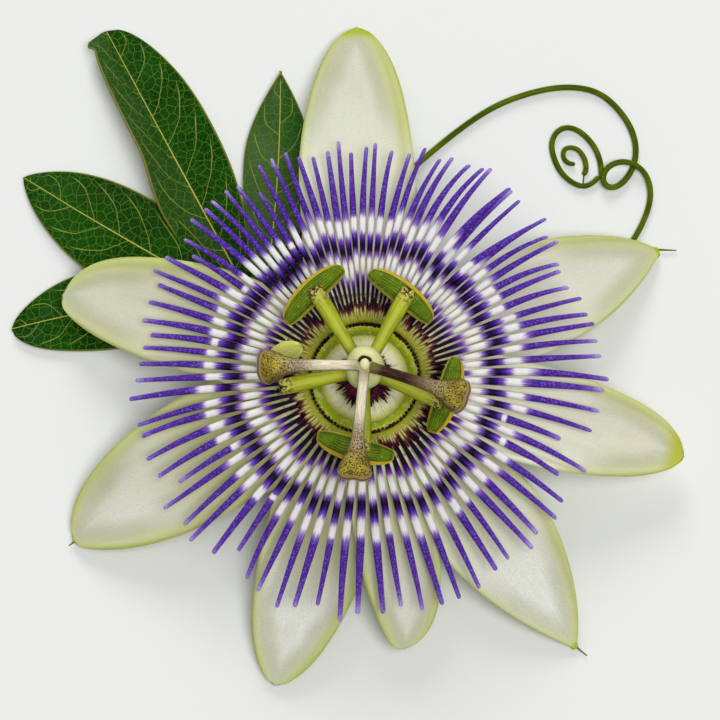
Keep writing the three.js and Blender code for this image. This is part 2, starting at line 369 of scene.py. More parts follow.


# lift is how high the sides stand, rim the rolled edge and hood the tip; inset is how far the blades run in
# over the cup, widest is a share of the length, and the foot side, in degrees, is where their feet are
# painted palest, painted light that turns to painted shade on the far side
tepals = {
    "lift": 1.0, "rim": 0.3, "hood": 1.3, "thickness": 0.42, "widest": 0.38, "inset": 2.9, "foot": 9.8,
    "litFootSide": 35, "awnHalfWidth": (0.2, 0.08),
}
# base is the half width at the foot; a low point makes a blunt tip; skew leans a blade sideways; shade is
# painted shade, how much darker a blade is coloured where less light falls on it; warm is which edge is the
# greener; tip is the length of its green end; an awn has its angle in degrees, its length and how far aside
# it stands
blades = {
    "sepal_top": dict(base=8.6, halfWidth=8.5, height=7.7, point=0.56, skew=0.3, warm=-0.8, curl=0.6,
                      shade=0.6, tip=3.0),
    "sepal_upper_right": dict(base=8.2, halfWidth=8.2, height=7.4, point=0.8, skew=0.65, warm=0.4, curl=0.5,
                              shade=0.75, tip=1.0, awn=(-26, 2.9, 0.95)),
    "sepal_lower_right": dict(base=8.2, halfWidth=8.2, height=7.9, point=0.92, skew=0.9, warm=0.6, curl=0.3,
                              shade=0, tip=1.2, awn=(12, 1.9, 0.0)),
    "sepal_lower_left": dict(base=8.2, halfWidth=7.6, height=7.2, point=0.62, skew=0.0, warm=0.3, curl=0.3,
                             shade=0, tip=0.4),
    "sepal_left": dict(base=9.6, halfWidth=9.0, height=7.9, point=0.64, skew=-1.2, warm=0, curl=0.3,
                       shade=0.55, tip=1.0, awn=(8, 0.9, 0.0)),
    "petal_right": dict(base=7.6, halfWidth=7.2, height=8.9, point=0.56, skew=0.5, warm=0.4, curl=0.5,
                        shade=0.4, tip=5.0),
    "petal_bottom": dict(base=6.0, halfWidth=5.9, height=8.9, point=0.5, skew=1.3, warm=0, curl=0.2,
                         shade=0.35, tip=0.3),
    "petal_upper_left": dict(base=8.0, halfWidth=7.9, height=8.9, point=0.47, skew=-1.6, warm=-0.8, curl=0.6,
                             shade=0.75, tip=0.3),
}


def tepalMaterial(name, pale, shade, soft, rim, tip, back):
    startMaterial(name, roughness=0.55, specular=0.12, softness=0.12)
    edge, along, across, tone, end, footShade, warm = attributesOf("edge", "along", "across", "tone", "end",
                                                              "footShade", "warm")
    cloud = noiseOf(120, 2)
    face = tint(pale, shade, cloud, 0.3, 0.8, 0.45)
    grain = noiseOf(4200, 3, 0.65)
    face = tint(face, shade, grain, 0.42, 0.7, 0.42)
    nerve = maths("SINE", across * 5.0 + cloud * 9)
    face = tint(face, shade, nerve, 0.6, 1.0, 0.08)
    # painted shade: each blade darkened by its own shade value, standing for less light falling on it
    face = mixColours(tone * 0.8, face, shade)
    ragged = edge + (cloud - 0.5) * 0.1 + warm * 0.14
    # painted shade in the hollow just inside the rolled rim
    hollowShade = rangeOf(ragged, 0.4, 0.7) * rangeOf(ragged, 1, 0.75, 0, 0.4) * rangeOf(along, 0.5, 0.75)
    face = mixColours(hollowShade, face, "#9ea468")
    face = tint(face, soft, ragged, 0.68, 1, 0.76)
    face = tint(face, rim, edge, 0.93, 0.99, 0.55)
    face = tint(face, tip, end + cloud * 0.3, 0.1, 0.85, 0.95)
    # the blade's foot in cream, its own colour, painted paler as painted light on one side of the flower and
    # darker olive as painted shade on the far side
    face = tint(face, mixColours(footShade, "#fbfbe2", "#cccf90"), along, 0.7, 0.3, 0.92)
    rib = maths("COSINE", across * 2.6 + cloud * 1.5)
    rear = tint(back, soft, rib, 0.5, 1.0, 0.4)
    rear = tint(rear, tip, grain, 0.4, 0.7, 0.3)
    rear = tint(rear, soft, edge, 0.8, 1.0, 0.6)
    skin = mixColours(facingUp(), rear, face)
    skin = tint(skin, "#5d7a1c", along, 1.1, 1.2)
    return finishMaterial(skin, grain, 0.1, 0.9)


tepalSkins = {
    "sepal": tepalMaterial("sepalSkin", "#f9f9f2", "#cdceb2", "#c3cc6c", "#bcc850", "#b3c01a", "#93a63c"),
    "petal": tepalMaterial("petalSkin", "#f7f7ec", "#cdceae", "#c8d074", "#c9d16a", "#bcc23a", "#c6cd90"),
}


def makeTepal(name, rng):
    shape = blades[name]
    tip = tipOf(name)
    angle, reach = math.atan2(tip.y, tip.x), tip.xy.length
    kind = name.split("_")[0]
    tipHeight = nodeBox(name)[0].z + 0.5
    bm = bmesh.new()
    bmesh.ops.create_grid(bm, x_segments=64, y_segments=28, size=0.5)
    along, edge, across, tone, nearTip, footShade, warm = floatLayers(bm, "along", "edge", "across", "tone", "end",
                                                                 "footShade", "warm")
    wave = [rng.uniform(-1, 1) for _ in range(3)]
    base, widest = cupRadius - tepals["inset"], tepals["widest"]
    foot = tepals["foot"] + (0.25 if kind == "petal" else 0)
    for vert in bm.verts:
        u, v = 1 - (0.5 - vert.co.x) ** 1.45, vert.co.y * 2  # rows crowd toward the tip
        if u < widest:
            half = blendOf(shape["base"], shape["halfWidth"], math.sin(u / widest * math.pi / 2))
            half *= 0.72 + 0.28 * ease(-0.02, 0.14, u)
        else:
            past = (u - widest) / (1 - widest)
            half = shape["halfWidth"] * max(1 - past * past, 0.0) ** shape["point"]
        half = max(half * (1 + 0.02 * math.sin(7 * u + 3 * wave[0] + math.copysign(1.5, v))), 0.2)
        out = blendOf(base, reach, u) - 0.12 * half * v * v * (1 - u)
        side = v * half + shape["skew"] * ease(-0.1, 0.3, u) * (1 - u ** 12)
        height = blendOf(foot, blendOf(shape["height"], tipHeight, u * u), ease(0, 0.17, u))
        height += tepals["lift"] * abs(v) ** 2.4 * ease(0.05, 0.4, u) * (1 - ease(0.55, 1.0, u))
        rolled = ease(0.8, 0.94, abs(v)) - 0.8 * ease(0.95, 1, abs(v))
        height += tepals["rim"] * rolled * ease(0.2, 0.4, u) * (1 - ease(0.8, 1, u))
        height += tepals["hood"] * ease(0.78, 1.0, u) * (0.75 + 0.25 * v * v) * shape["curl"]
        height -= 0.2 * bell(v, 0, 0.25) * ease(0.1, 0.3, u) * (1 - ease(0.6, 0.9, u))
        ripple = 0.22 * math.sin(5 * u + 2.2 * wave[1]) * v
        ripple += 0.16 * math.sin(9 * u + 4 * v + wave[2] * 3) * abs(v)
        height += ripple * ease(0.1, 0.3, u) * (1 - ease(0.7, 1, u))
        # the tone layer carries the blade's painted shade
        vert[along], vert[across], vert[tone] = u, v * half, shape["shade"]
        vert[edge] = 1 - (1 - abs(v)) * half / max(half, shape["halfWidth"])
        vert[nearTip] = 1 - (1 - u) * reach / shape["tip"]
        vert[warm] = shape["warm"] * v
        # how far round from the lit side the blade stands, for the painted light and shade at its foot
        vert[footShade] = 0.5 - 0.5 * math.cos(angle - math.radians(tepals["litFootSide"]))
        vert.co = Vector((out, side, height))
    thicken(bm, tepals["thickness"])
    if "awn" in shape:
        turn, length, aside = shape["awn"]
        start = Vector((reach - 1.2, aside, tipHeight + 0.05))
        toward = polar(1, math.radians(turn), -0.05)
        bladeVerts = len(bm.verts)
        growTube(bm, [start + toward * (length + 1.2) * i / 8 for i in range(9)],
                 lambda t: blendOf(*tepals["awnHalfWidth"], t), 10)
        bm.verts.ensure_lookup_table()
        for vert in bm.verts[bladeVerts:]:
            vert[along] = 1.3
    turnAll(bm, angle)
    finishPiece(bm, name + "_blade", tepalSkins[kind], name)


for index, tepalName in enumerate(blades):
    makeTepal(tepalName, random.Random(20 + index))
print("sepals and petals made")


# lower is measured up from the cup's foot, middle from the floor and upper from its top
cup = {
    "lower": [(0, 0), (1.6, 0), (2.6, 0.15), (5, 0.7), (8.5, 1.3), (12, 1.8)],
    "middle": [(cupRadius - 0.4, 7.0), (cupRadius, 7.3), (cupRadius - 0.4, 7.8), (13.8, 8.7), (12.6, 9.4),
               (11.6, 9.9), (10.4, 9.95)],
    "upper": [(9.4, 0), (0, 0)],
    "ribs": 15, "ribHeight": 0.12, "lobeHeight": 0.015,
}


def cupMaterial():
    startMaterial("cupSkin", specular=0.2, softness=0.1)
    grain = noiseOf(2400, 3)
    cloud = noiseOf(240, 3)
    top = mixColours(cloud, "#f4f4c4", "#e6e8a8")
    under = mixColours(cloud, "#8ea044", "#748a35")
    skin = mixColours(facingUp(), under, top)
    return finishMaterial(skin, grain, 0.08, 0.7)


def makeCup():
    bm = bmesh.new()
    middle = [(radius, height - cupLow.z) for radius, height in cup["middle"]]
    spinProfile(bm, 96, cupLow.z, cup["lower"] + middle, cupHigh.z, cup["upper"])
    for vert in bm.verts:  # faint ribs below, and five shallow lobes
        angle, radius = bearingOf(vert)
        if vert.co.z < cup["middle"][1][1] + 0.2:
            vert.co.z += cup["ribHeight"] * math.cos(angle * cup["ribs"]) * ease(2, 8, radius)
        vert.co.xy *= 1 + cup["lobeHeight"] * math.sin(5 * angle + 0.6) * ease(6, 14, radius)
    finishPiece(bm, "calyx_bowl", cupMaterial(), "calyx_cup")


bracts = {"length": 12.6, "halfWidth": 3.9, "angles": (30, 150, 270), "thickness": 0.3}


def bractMaterial():
    startMaterial("bractSkin", specular=0.2)
    edge, across = attributesOf("edge", "across")
    cloud = noiseOf(320, 3)
    skin = mixColours(cloud, "#8fa84a", "#6f8f3a")
    rib = rangeOf(abs(across), 0.22, 0.05)
    skin = mixColours(rib, skin, "#b9c476")
    skin = tint(skin, "#c0c98a", edge, 0.9, 1, 0.6)
    return finishMaterial(skin, noiseOf(1800, 2) + rib, 0.08, 0.7)


def makeBracts():
    material = bractMaterial()
    for i, degrees in enumerate(bracts["angles"]):
        bm = bmesh.new()
        bmesh.ops.create_grid(bm, x_segments=28, y_segments=12, size=0.5)
        edge, across = floatLayers(bm, "edge", "across")
        for vert in bm.verts:
            u, v = vert.co.x + 0.5, vert.co.y * 2
            half = bracts["halfWidth"] * (0.18 + 0.82 * math.sin(math.pi * u ** 0.8))
            half *= 1 - 0.9 * ease(0.9, 1, u)
            vert[edge], vert[across] = abs(v), v * half
            height = 4.35 + 1.7 * u + 0.35 * v * v + 0.1 * math.sin(6 * u + i)
            vert.co = Vector((1.3 + u * bracts["length"], v * half, height))
        thicken(bm, bracts["thickness"])
        turnAll(bm, math.radians(degrees))
        finishPiece(bm, f"bract_blade_{i + 1}", material, f"bract_{i + 1}")


makeCup()
makeBracts()
print("calyx cup and bracts made")


# share is how much of its room a filament fills near the foot and farther out; swells are where the ring
# reaches farther or less far: the place and the spread in degrees, and the change in millimetres
corona = {
    "count": 87, "crowding": 0.27, "start": 9.0, "reach": 33.9, "halfWidth": 0.53, "halfDepth": 0.34,
    "curl": 1.2, "hook": 2.8, "sides": 10, "rings": 22, "share": (0.33, 0.39),
    "swells": ((30, 12, -1.1), (62, 13, 1.2), (120, 14, 0.5), (142, 2.2, -4.2), (182, 34, -1.1)),
}


def coronaMaterial():
    startMaterial("coronaSkin", roughness=0.55)
    out, around, tone = attributesOf("out", "around", "tone")
    streak = noiseOf(1.6, 3, 0.6, vectorOf(around * 15, out * 0.35, tone * 60))
    shifted = out + (streak - 0.5) * 2.1 + (tone - 0.5) * 1.5
    crest = abs(maths("COSINE", around * fullTurn))
    spike = (0.6 - crest) * rangeOf(out, 12.5, 10.5, 0, 2.4)
    outermost = 36
    stops = [(8.4, "#b6b04a"), (9.6, "#a89a48"), (10.3, "#5c1a38"), (10.9, "#20041c"), (13.2, "#150122"),
             (13.9, "#460e78"), (14.6, "#7c48b6"), (15.3, "#e2dce0"), (16.1, "#f6f4f0"), (17.1, "#f4f1ee"),
             (17.8, "#8c62be"), (18.5, "#20023e"), (19.2, "#12011e"), (19.9, "#3c0d86"), (20.7, "#7c50bc"),
             (21.4, "#efebec"), (23.1, "#f4f1f2"), (23.9, "#8a64c2"), (24.7, "#4c2299"), (31.4, "#5c32a8"),
             (33.3, "#8462ca"), (34.3, "#b8a4e2")]
    skin = rampOf((shifted + spike) / outermost, [(place / outermost, code) for place, code in stops])
    fleck = noiseOf(3600, 2, 0.6)
    violet = rangeOf(out, 23.5, 25)
    skin = mixColours(rangeOf(fleck, 0.5, 0.7) * (violet * 0.75), skin, "#8c6cd2")
    skin = mixColours(rangeOf(fleck, 0.5, 0.32) * (violet * 0.65), skin, "#2c0e72")
    # the filaments' sides painted pale in the banded zone: partly their own paler sides, partly painted light
    # standing in for the lit tissue seen between them
    banded = rangeOf(out, 10.6, 12) * rangeOf(out, 18, 16)
    flank = rangeOf(crest, 0.8, 0.96, 0, 0.62) * banded
    skin = mixColours(flank, skin, "#f0f0d0")
    rib = maths("SINE", around * (fullTurn * 9))
    height = rib * 0.12 + fleck * (violet + 0.25)
    return finishMaterial(skin, height, 0.1, 0.9)


def coronaAngle(share):
    return share * fullTurn + corona["crowding"] * math.cos(share * fullTurn)


def makeCorona():
    rng = random.Random(7)
    bm = bmesh.new()
    out, around, toneLayer = floatLayers(bm, "out", "around", "tone")
    bar = makeBar("filamentBar", corona["sides"], corona["rings"])
    ringHeight = coronaFoot + 0.85
    count = corona["count"]
    for i in range(count):
        angle = coronaAngle(i / count) + rng.uniform(-0.004, 0.004)
        reach = corona["reach"] + rng.gauss(0, 0.6) - (3.4 if rng.random() < 0.07 else 0)
        degrees = math.degrees(angle) % 360
        for middle, spread, change in corona["swells"]:
            reach += change * bell(degrees, middle, spread)
        width = corona["halfWidth"] * rng.uniform(0.9, 1.1)
        spacing = 1 - corona["crowding"] * math.sin(i / count * fullTurn)
        width *= 0.85 + 0.15 * spacing
        room = fullTurn / count * spacing
        curl = -corona["curl"] * math.cos(angle) * rng.uniform(0.6, 1.4) + rng.gauss(0, 0.25)
        curl -= corona["hook"] * bell(degrees, 56, 26) * rng.uniform(0.4, 1.5)
        hook = rng.uniform(2.2, 4.5)
        lean = rng.uniform(-0.2, 0.2)
        rise = rng.uniform(0.4, 1.5)
        wobble = rng.uniform(0, 6.28)
        tone = rng.random()

        def bend(vert):
            t = 1 - (1 - min(max(vert.co.x, 0), 1)) ** 1.8  # rings crowd toward the tip
            y, z = vert.co.y, vert.co.z
            radius = blendOf(corona["start"], reach, t)
            filled = blendOf(*corona["share"], ease(10.5, 17, radius))
            profile = min(filled * room * radius / width, 1) * (1 - 0.4 * ease(0.56, 1.0, t))
            profile *= roundedEnd(t, 0.988, 0.0125, 0.02)
            side = curl * t ** hook + lean * t * t + 0.1 * math.sin(5 * t + wobble) * t
            height = ringHeight + rise * math.sin(math.pi * min(t * 1.1, 1)) - 0.5 * t
            height += 0.12 * math.sin(7 * t + wobble)
            vert[out], vert[toneLayer] = radius * 34.2 / reach if t > 0.6 else radius, tone
            vert[around] = math.atan2(z, y) / fullTurn + 0.5
            place = Vector((radius, side + y * width * profile, height + z * corona["halfDepth"] * profile))
            vert.co = turned(place, angle)

        copyBent(bm, bar, bend)
    finishPiece(bm, "corona_filaments", coronaMaterial(), "corona")
    bpy.data.meshes.remove(bar)


collar = {
    "profile": [(8.05, 0), (8.05, 0.8), (8.25, 1.35), (8.7, 1.6), (9.2, 1.5), (9.9, 1.2), (10.5, 0.7),
                (10.6, 0), (8.05, 0)],
    "ruffle": 0.14,
}


def collarMaterial():
    startMaterial("collarSkin")
    out, around = attributesOf("out", "around")
    streak = noiseOf(1.0, 3, 0.6, vectorOf(around * 150, out * 0.5, 0.0))
    shifted = out + (streak - 0.5) * 2.2
    skin = rampOf(shifted / 12, [(0.655, "#5e6410"), (0.69, "#a9ab34"), (0.79, "#a09c3a"), (0.84, "#6c3a30"),
                                 (0.9, "#360e22")])
    return finishMaterial(skin, streak, 0.25, 0.9)


# the fused foot of the corona, a soft ridge with fine ruffles
def makeCollar():
    bm = bmesh.new()
    spinProfile(bm, 264, coronaFoot, collar["profile"])
    markRound(bm)
    for vert in bm.verts:
        angle, radius = bearingOf(vert)
        if vert.co.z > coronaFoot + 0.5:
            vert.co.z += collar["ruffle"] * math.sin(angle * 88) * ease(8.2, 9, radius)
            vert.co.xy *= 1 + 0.004 * math.sin(angle * 66 + 1)
    finishPiece(bm, "corona_collar", collarMaterial(), "inner_filaments")


innerHairs = {"count": 150, "start": 8.3, "reach": 11.3, "halfWidth": 0.15, "rise": 0.8}


def innerHairMaterial():
    startMaterial("innerHairSkin")
    along, tone = attributesOf("along", "tone")
    share = along + tone * 0.35
    skin = rampOf(share, [(0.1, "#8f9426"), (0.4, "#c9c66e"), (0.62, "#c6bc70"), (0.78, "#6c243c"),
                          (1.0, "#26061c")])
    return finishMaterial(skin)


def makeInnerHairs():
    rng = random.Random(11)
    bm = bmesh.new()
    along, toneLayer = floatLayers(bm, "along", "tone")
    bar = makeBar("hairBar", 6, 6)
    foot = coronaFoot + 1.2
    for i in range(innerHairs["count"]):
        angle = (i + rng.uniform(-0.3, 0.3)) / innerHairs["count"] * fullTurn
        reach = innerHairs["reach"] + rng.gauss(0, 0.45)
        rise, side, tone = innerHairs["rise"] * rng.uniform(0.4, 1.3), rng.uniform(-0.25, 0.25), rng.random()

        def bend(vert):
            t, y, z = vert.co
            width = innerHairs["halfWidth"] * (0.55 + 0.75 * math.sin(t * 2.8))
            radius = blendOf(innerHairs["start"], reach, t)
            vert[along], vert[toneLayer] = t, tone
            height = foot + rise * math.sin(t * 2.2) + z * width
            vert.co = turned((radius, side * t * t + y * width, height), angle)

        copyBent(bm, bar, bend)
    finishPiece(bm, "inner_hairs", innerHairMaterial(), "inner_filaments")
    bpy.data.meshes.remove(bar)


makeCorona()
makeCollar()
makeInnerHairs()
print("corona made")


beads = {"count": 82, "radius": 7.82, "size": 0.27}
nectar = {
    "profile": [(6.42, 0), (6.42, 0.55), (6.7, 0.8), (7.15, 1.05), (7.55, 0.95), (7.85, 0.5), (7.85, 0),
                (6.42, 0)],
    "dots": 64, "dotRadius": 7.45, "dotHeight": 1.0,
}


def plainMaterial(name, light, dark, roughness, scale=900, depth=0.05):
    startMaterial(name, roughness)
    cloud = noiseOf(scale, 3)
    return finishMaterial(tint(light, dark, cloud, 0.35, 0.65), cloud, depth, 0.7)


def makeBeads():
    rng = random.Random(3)
    bm = bmesh.new()
    height = coronaFoot + 0.75
    for i in range(beads["count"]):
        angle = i / beads["count"] * fullTurn
        size = beads["size"] * rng.uniform(0.65, 1.25)
        made = bmesh.ops.create_icosphere(bm, subdivisions=2, radius=size)["verts"]
        place = polar(beads["radius"] + rng.uniform(-0.12, 0.12), angle, height + rng.uniform(-0.05, 0.08))
        bmesh.ops.scale(bm, verts=made, vec=(1.25, 1.0, 1.1))
        bmesh.ops.rotate(bm, verts=made, matrix=Matrix.Rotation(angle, 3, "Z"))
        bmesh.ops.translate(bm, verts=made, vec=place)
    skin = plainMaterial("beadSkin", "#43161e", "#1a0610", 0.3)
    finishPiece(bm, "bead_ring", skin, "nectar_ring")


def nectarMaterial():
    startMaterial("nectarSkin", roughness=0.35, specular=0.12)
    out, around = attributesOf("out", "around")
    streak = noiseOf(1.0, 3, place=vectorOf(around * 120, out, 0.0))
    skin = rampOf((out + streak * 0.5) / 9,
                  [(0.72, "#b4b64c"), (0.78, "#94a408"), (0.84, "#9cb004"), (0.9, "#c6cc3c"),
                   (0.93, "#6c7210")])
    glints = noiseOf(1300, 2)
    skin = tint(skin, "#d2d28c", glints, 0.5, 0.72, 0.6)
    return finishMaterial(skin, streak, 0.15, 0.8)


def makeNectarRing():
    bm = bmesh.new()
    spinProfile(bm, 160, coronaFoot, nectar["profile"])
    markRound(bm)
    finishPiece(bm, "nectar_band", nectarMaterial(), "nectar_ring")
    rng = random.Random(5)
    bm = bmesh.new()
    for i in range(nectar["dots"]):
        angle = (i + rng.uniform(-0.3, 0.3)) / nectar["dots"] * fullTurn
        made = bmesh.ops.create_icosphere(bm, subdivisions=1, radius=rng.uniform(0.1, 0.17))["verts"]
        place = polar(nectar["dotRadius"] + rng.uniform(-0.1, 0.1), angle, coronaFoot + nectar["dotHeight"])
        bmesh.ops.translate(bm, verts=made, vec=place)
    dots = plainMaterial("dewSkin", "#dfe39a", "#c4cf66", 0.25)
    finishPiece(bm, "nectar_dots", dots, "nectar_ring")


cover = {
    "profile": [(2.05, 0), (6.45, 0), (6.45, 0.5), (5.6, 0.68), (4.6, 0.95), (3.5, 1.3), (2.7, 1.7),
                (2.3, 1.9), (2.05, 1.8), (2.05, 0)],
    "rays": 50, "rayHeight": 0.035,
}


def coverMaterial():
    startMaterial("coverSkin")
    out, around = attributesOf("out", "around")
    streak = noiseOf(1.0, 4, 0.6, vectorOf(around * 110, out * 0.35, 0.0))
    shifted = out + (streak - 0.5) * 1.6
    skin = rampOf(shifted / 7, [(0.28, "#180610"), (0.42, "#3c1226"), (0.52, "#a8a25a"), (0.6, "#f2efc2"),
                                (0.74, "#f6f4d0"), (0.84, "#d8d680"), (0.93, "#b8bc48")])
    skin = tint(skin, "#9c9c5c", streak, 0.5, 0.34, 0.55)
    return finishMaterial(skin, streak, 0.22, 0.9)


def makeCover():
    bm = bmesh.new()
    spinProfile(bm, 200, coronaFoot, cover["profile"])
    markRound(bm)
    for vert in bm.verts:
        if vert.co.z > coronaFoot + 0.3:
            vert.co.z += cover["rayHeight"] * math.sin(bearingOf(vert)[0] * cover["rays"])
    finishPiece(bm, "nectar_lid", coverMaterial(), "nectar_cover")


fringe = {"count": 110, "pale": 18, "start": 1.75, "reach": 4.15, "halfWidth": 0.27}


def makeFringe():
    rng = random.Random(9)
    bar = makeBar("fringeBar", 6, 5)
    foot = coronaFoot + 1.9
    dark = plainMaterial("fringeSkin", "#621a38", "#220718", 0.45)
    pale = plainMaterial("paleHairSkin", "#c3cf86", "#9fb05a", 0.45)
    for name, count, longer, material in (("fringe_dark", fringe["count"], 0.0, dark),
                                          ("fringe_pale", fringe["pale"], 0.7, pale)):
        bm = bmesh.new()
        for i in range(count):
            angle = (i + rng.uniform(-0.4, 0.4)) / count * fullTurn
            reach = fringe["reach"] + longer + rng.gauss(0, 0.36) - 0.55 * max(math.sin(angle), 0)
            rise, droop, side = rng.uniform(0.3, 0.8), rng.uniform(0.3, 0.8), rng.uniform(-0.3, 0.3)

            def bend(vert):
                t, y, z = vert.co
                t = max(t, 0)
                width = fringe["halfWidth"] * (1.1 - 0.95 * t ** 2.2) * (0.4 if longer else 1)
                radius = blendOf(fringe["start"], reach, t)
                height = foot + rise * math.sin(t * 2.4) - droop * t * t + z * width
                vert.co = turned((radius, side * t * t + y * width, height), angle)

            copyBent(bm, bar, bend)
        finishPiece(bm, name, material, "nectar_cover")
    bpy.data.meshes.remove(bar)


makeBeads()
makeNectarRing()
makeCover()
makeFringe()
print("nectar ring and cover made")


def stamenMaterial():
    startMaterial("stamenSkin", roughness=0.38)
    along, around = attributesOf("along", "around")
    cloud = noiseOf(420, 3)
    streak = noiseOf(3, 3, 0.6, vectorOf(around * 16, along, 0.0))
    skin = tint("#acb414", "#8e9c0a", cloud, 0.3, 0.7)
    skin = tint(skin, "#c6ca48", streak, 0.42, 0.62, 0.35)
    skin = tint(skin, "#5f6c04", streak, 0.5, 0.36, 0.3)
    # painted highlight along the top of the strap and painted shade down its sides and underside
    upper = topOfTube(around)
    skin = tint(skin, "#ccd054", upper, 0.86, 1.0, 0.6)
    skin = tint(skin, "#5f6e04", upper, 0.8, 0.1, 0.75)
    skin = tint(skin, "#c8bd6c", along, 0.72, 1.0, 0.6)
    speck = noiseOf(2300, 1)
    spots = rangeOf(speck, 0.5, 0.56) * rangeOf(along, 0.7, 0.96)
    skin = mixColours(spots, skin, "#50251c")
    return finishMaterial(skin, noiseOf(1500, 2) + streak, 0.08, 0.8)


stamenSkin = stamenMaterial()
stamens = {
    "halfWidth": (0.85, 0.88, 0.92, 1.0, 1.12, 1.2, 1.18, 1.1), "halfDepth": 0.5, "arch": 1.0, "start": 1.0,
}


column = {
    "lower": [(0, 0), (2.0, 0), (1.95, 0.7), (1.55, 1.6), (1.3, 2.6), (1.22, 5)],
    "upper": [(1.25, -2.2), (1.5, -1.2), (1.85, -0.5), (1.7, 0), (0, 0.05)],
    "ridges": 5, "ridgeHeight": 0.035,
}


def makeColumn():
    bm = bmesh.new()
    spinProfile(bm, 40, columnLow.z, column["lower"], columnHigh.z, column["upper"])
    along, = floatLayers(bm, "along")
    for vert in bm.verts:
        vert.co.xy *= 1 + column["ridgeHeight"] * math.cos(bearingOf(vert)[0] * column["ridges"])
        vert[along] = 0.2
    finishPiece(bm, "column_body", stamenSkin, "column")


def makeStamenFilament(i):
    low, high = nodeBox(f"stamen_filament_{i}")
    reach = tipOf(f"stamen_filament_{i}").xy.length
    centre = (low + high) / 2 - axis
    height = low.z + 0.42
    places = []
    for step in range(29):
        t = step / 28
        radius = blendOf(stamens["start"], reach - 0.1, t)
        places.append(Vector((radius, 0, height + stamens["arch"] * math.sin(math.pi * t) - 0.15 * t)))

    def width(t):
        return profileAt(stamens["halfWidth"], t) * roundedEnd(t, 0.955, 0.047, 0.2)

    def depth(t):
        return stamens["halfDepth"] * (1 + 0.25 * ease(0.8, 1, t)) * roundedEnd(t, 0.95, 0.055, 0.06)

    bm = bmesh.new()
    growTube(bm, places, width, 20, depth)
    for vert in bm.verts:  # a notch between the two lobes of the tip, and a shallow groove along the top
        out, side = vert.co.x, vert.co.y
        vert.co.x -= 0.75 * ease(reach - 1.5, reach, out) * bell(side, 0, 0.3)
        if vert.co.z > height:
            vert.co.z -= 0.1 * bell(side, 0, 0.35) * ease(2, 4, out)
    turnAll(bm, math.atan2(centre.y, centre.x))
    finishPiece(bm, f"stamen_strap_{i}", stamenSkin, f"stamen_filament_{i}")


anthers = {
    "halfLength": 5.7, "halfWidth": 1.72, "halfDepth": 1.25,
    "turns": {1: 44.5, 2: -38.5, 3: 71.6, 4: -15.4, 5: 30}, "tilts": {5: 60}, "pale": (5,),
    "grooves": ((0.55, 0.12, 0.1), (1.5, 0.14, 0.05), (2.4, 0.14, 0.07)),  # place, spread, depth
}


def antherMaterial():
    startMaterial("antherSkin")
    across, along, tone = attributesOf("across", "along", "tone")
    cloud = noiseOf(700, 3)
    # the fine ridges are painted with lighter crests and darker furrows, painted highlight and shade besides
    # their relief, and the flanks darkened as painted shade
    ridge = maths("SINE", across * 26 + cloud * 9)
    skin = tint("#6c880c", "#4a6a06", cloud, 0.3, 0.7)
    skin = tint(skin, "#a6b434", ridge, 0.0, 1, 0.26)
    skin = tint(skin, "#365204", ridge, -0.5, -1, 0.24)
    skin = tint(skin, "#2c4604", abs(across), 0.35, 0.85, 0.6)
    golden = rangeOf(across + cloud * 0.16, 0.83, 0.92)
    skin = mixColours(golden, skin, "#cdb224")
    skin = tint(skin, "#c9bf3a", across, -0.78, -0.92, 0.85)
    skin = tint(skin, "#cdb92a", abs(along), 0.93, 0.995, 0.8)
    skin = mixColours(tone * 0.85, skin, "#e4e67a")
    dust = noiseOf(2600, 2)
    skin = tint(skin, "#d2cf6a", dust, 0.6, 0.75, 0.4)
    return finishMaterial(skin, ridge * 0.5 + dust, 0.12, 0.8)


antherSkin = antherMaterial()


# a long pod: a sphere drawn out, flattened, with lengthwise grooves and a thin lip on its outer side
def makeAnther(i):
    low, high = nodeBox(f"anther_{i}")
    centre = (low + high) / 2 - axis
    turn = math.radians(anthers["turns"][i])
    bm = bmesh.new()
    bmesh.ops.create_uvsphere(bm, u_segments=36, v_segments=40, radius=1)
    turnAll(bm, math.pi / 2, "Y")
    along, across, tone = floatLayers(bm, "along", "across", "tone")
    outer = math.copysign(1, turned((centre.x, centre.y, 0), -turn).y)
    for vert in bm.verts:
        x, y, z = vert.co
        ring = max(math.sqrt(max(1 - x * x, 0)), 1e-4)
        around = math.atan2(z, y * outer)
        full = ring ** 0.7  # fuller ends than a plain sphere
        groove = 1 - sum(depth * bell(around, place, spread) for place, spread, depth in anthers["grooves"])
        lip = 1 + 0.1 * bell(around, 0, 0.2)
        vert[along], vert[across], vert[tone] = x, math.cos(around), float(i in anthers["pale"])
        scale = full / ring * groove * lip
        vert.co = Vector((x * anthers["halfLength"], y * scale * anthers["halfWidth"],
                          z * scale * anthers["halfDepth"]))
        vert.co.z += 0.35 * (1 - (x * 1.1) ** 2)
        vert.co.y -= outer * 0.5 * (x * x)  # ends curve back in a little
    turnAll(bm, -math.radians(anthers["tilts"].get(i, 0)), "Y")
    turnAll(bm, turn)
    bmesh.ops.translate(bm, verts=bm.verts[:], vec=centre)
    finishPiece(bm, f"anther_pod_{i}", antherSkin, f"anther_{i}")


makeColumn()
for number in range(1, 6):
    makeStamenFilament(number)
    makeAnther(number)
print("column and stamens made")


ovary = {
    "lower": [(0, 0), (1.3, 0), (2.1, 0.55), (2.62, 1.4), (2.8, 2.5), (2.62, 3.5), (2.1, 4.4), (1.5, 5.0),
              (1.2, 5.5)],
    "upper": [(1.2, -0.8), (1.12, -0.3), (0.75, 0.05), (0, 0.15)],
    "knob": (0.72, 0.85, 0.6), "bowRadius": 0.95,  # the knob on top, and the dark bow round one side of it
}


